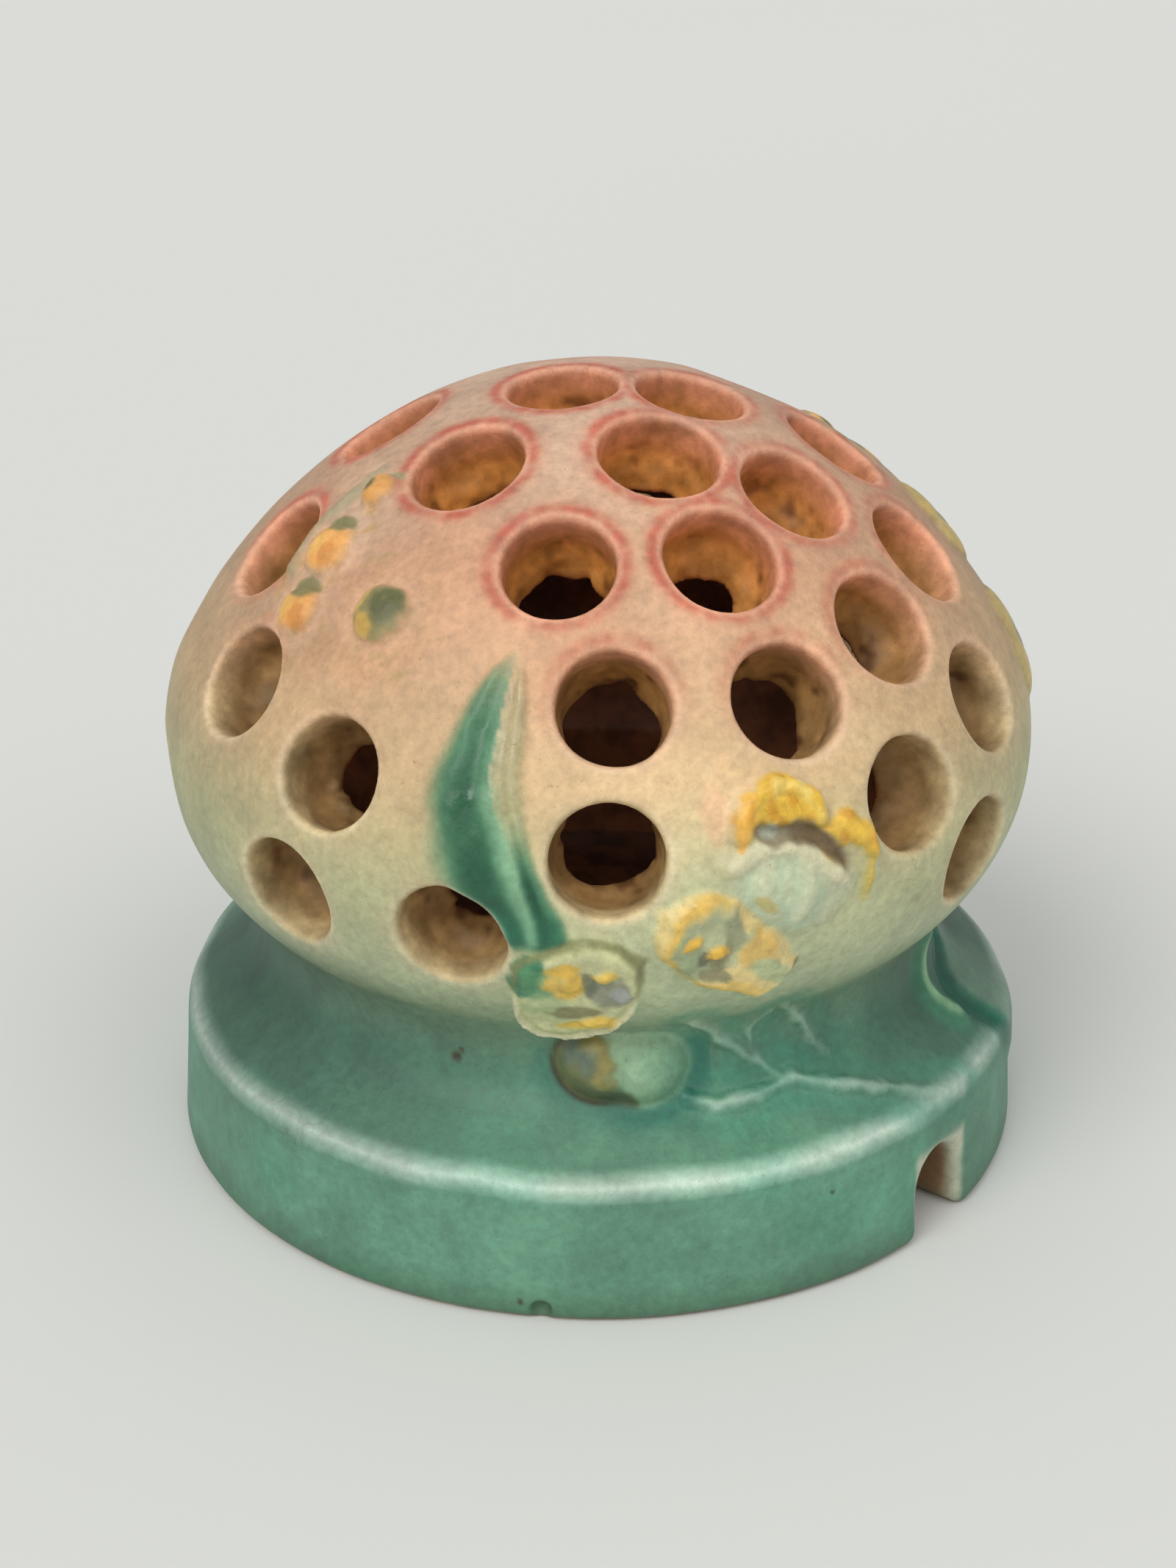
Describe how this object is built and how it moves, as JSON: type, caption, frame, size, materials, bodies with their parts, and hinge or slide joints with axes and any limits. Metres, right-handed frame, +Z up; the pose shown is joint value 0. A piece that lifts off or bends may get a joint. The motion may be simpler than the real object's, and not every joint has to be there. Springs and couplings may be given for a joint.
{
  "type": "flower frog",
  "caption": "Hollow pierced ceramic dome on a round flared foot; holds cut flower stems upright in water.",
  "frame": {"origin": "centre of the foot's underside, on the plane it rests on", "axes": "+Z up through the crown; -Y towards the face with the blossoms; +X to that face's right"},
  "size_m": [0.1062, 0.1073, 0.0945],
  "materials": {
    "dome_glaze": "matte",
    "foot_glaze": "matte",
    "leaf_glaze": "matte",
    "blossom_glaze": "matte",
    "bud_glaze": "matte",
    "stem_glaze": "matte"
  },
  "bodies": {
    "root": {"pierced_dome": "dome_glaze", "drum_foot": "foot_glaze", "front_leaf": "leaf_glaze", "front_bell_blossom": "blossom_glaze", "front_open_blossom": "blossom_glaze", "front_oval_blossom": "blossom_glaze", "front_foot_bud": "bud_glaze", "front_spray_stem": "stem_glaze", "front_upper_bud": "bud_glaze", "front_middle_bud": "bud_glaze", "front_lower_bud": "bud_glaze", "front_side_bud": "bud_glaze", "front_foot_veins": "stem_glaze", "front_curled_stem": "stem_glaze", "back_leaf": "leaf_glaze", "back_bell_blossom": "blossom_glaze", "back_open_blossom": "blossom_glaze", "back_oval_blossom": "blossom_glaze", "back_foot_bud": "bud_glaze", "back_spray_stem": "stem_glaze", "back_upper_bud": "bud_glaze", "back_middle_bud": "bud_glaze", "back_lower_bud": "bud_glaze", "back_side_bud": "bud_glaze", "back_foot_veins": "stem_glaze", "back_curled_stem": "stem_glaze", "flank_upper_blossom": "blossom_glaze", "flank_lower_blossom": "blossom_glaze"}
  },
  "joints": []
}
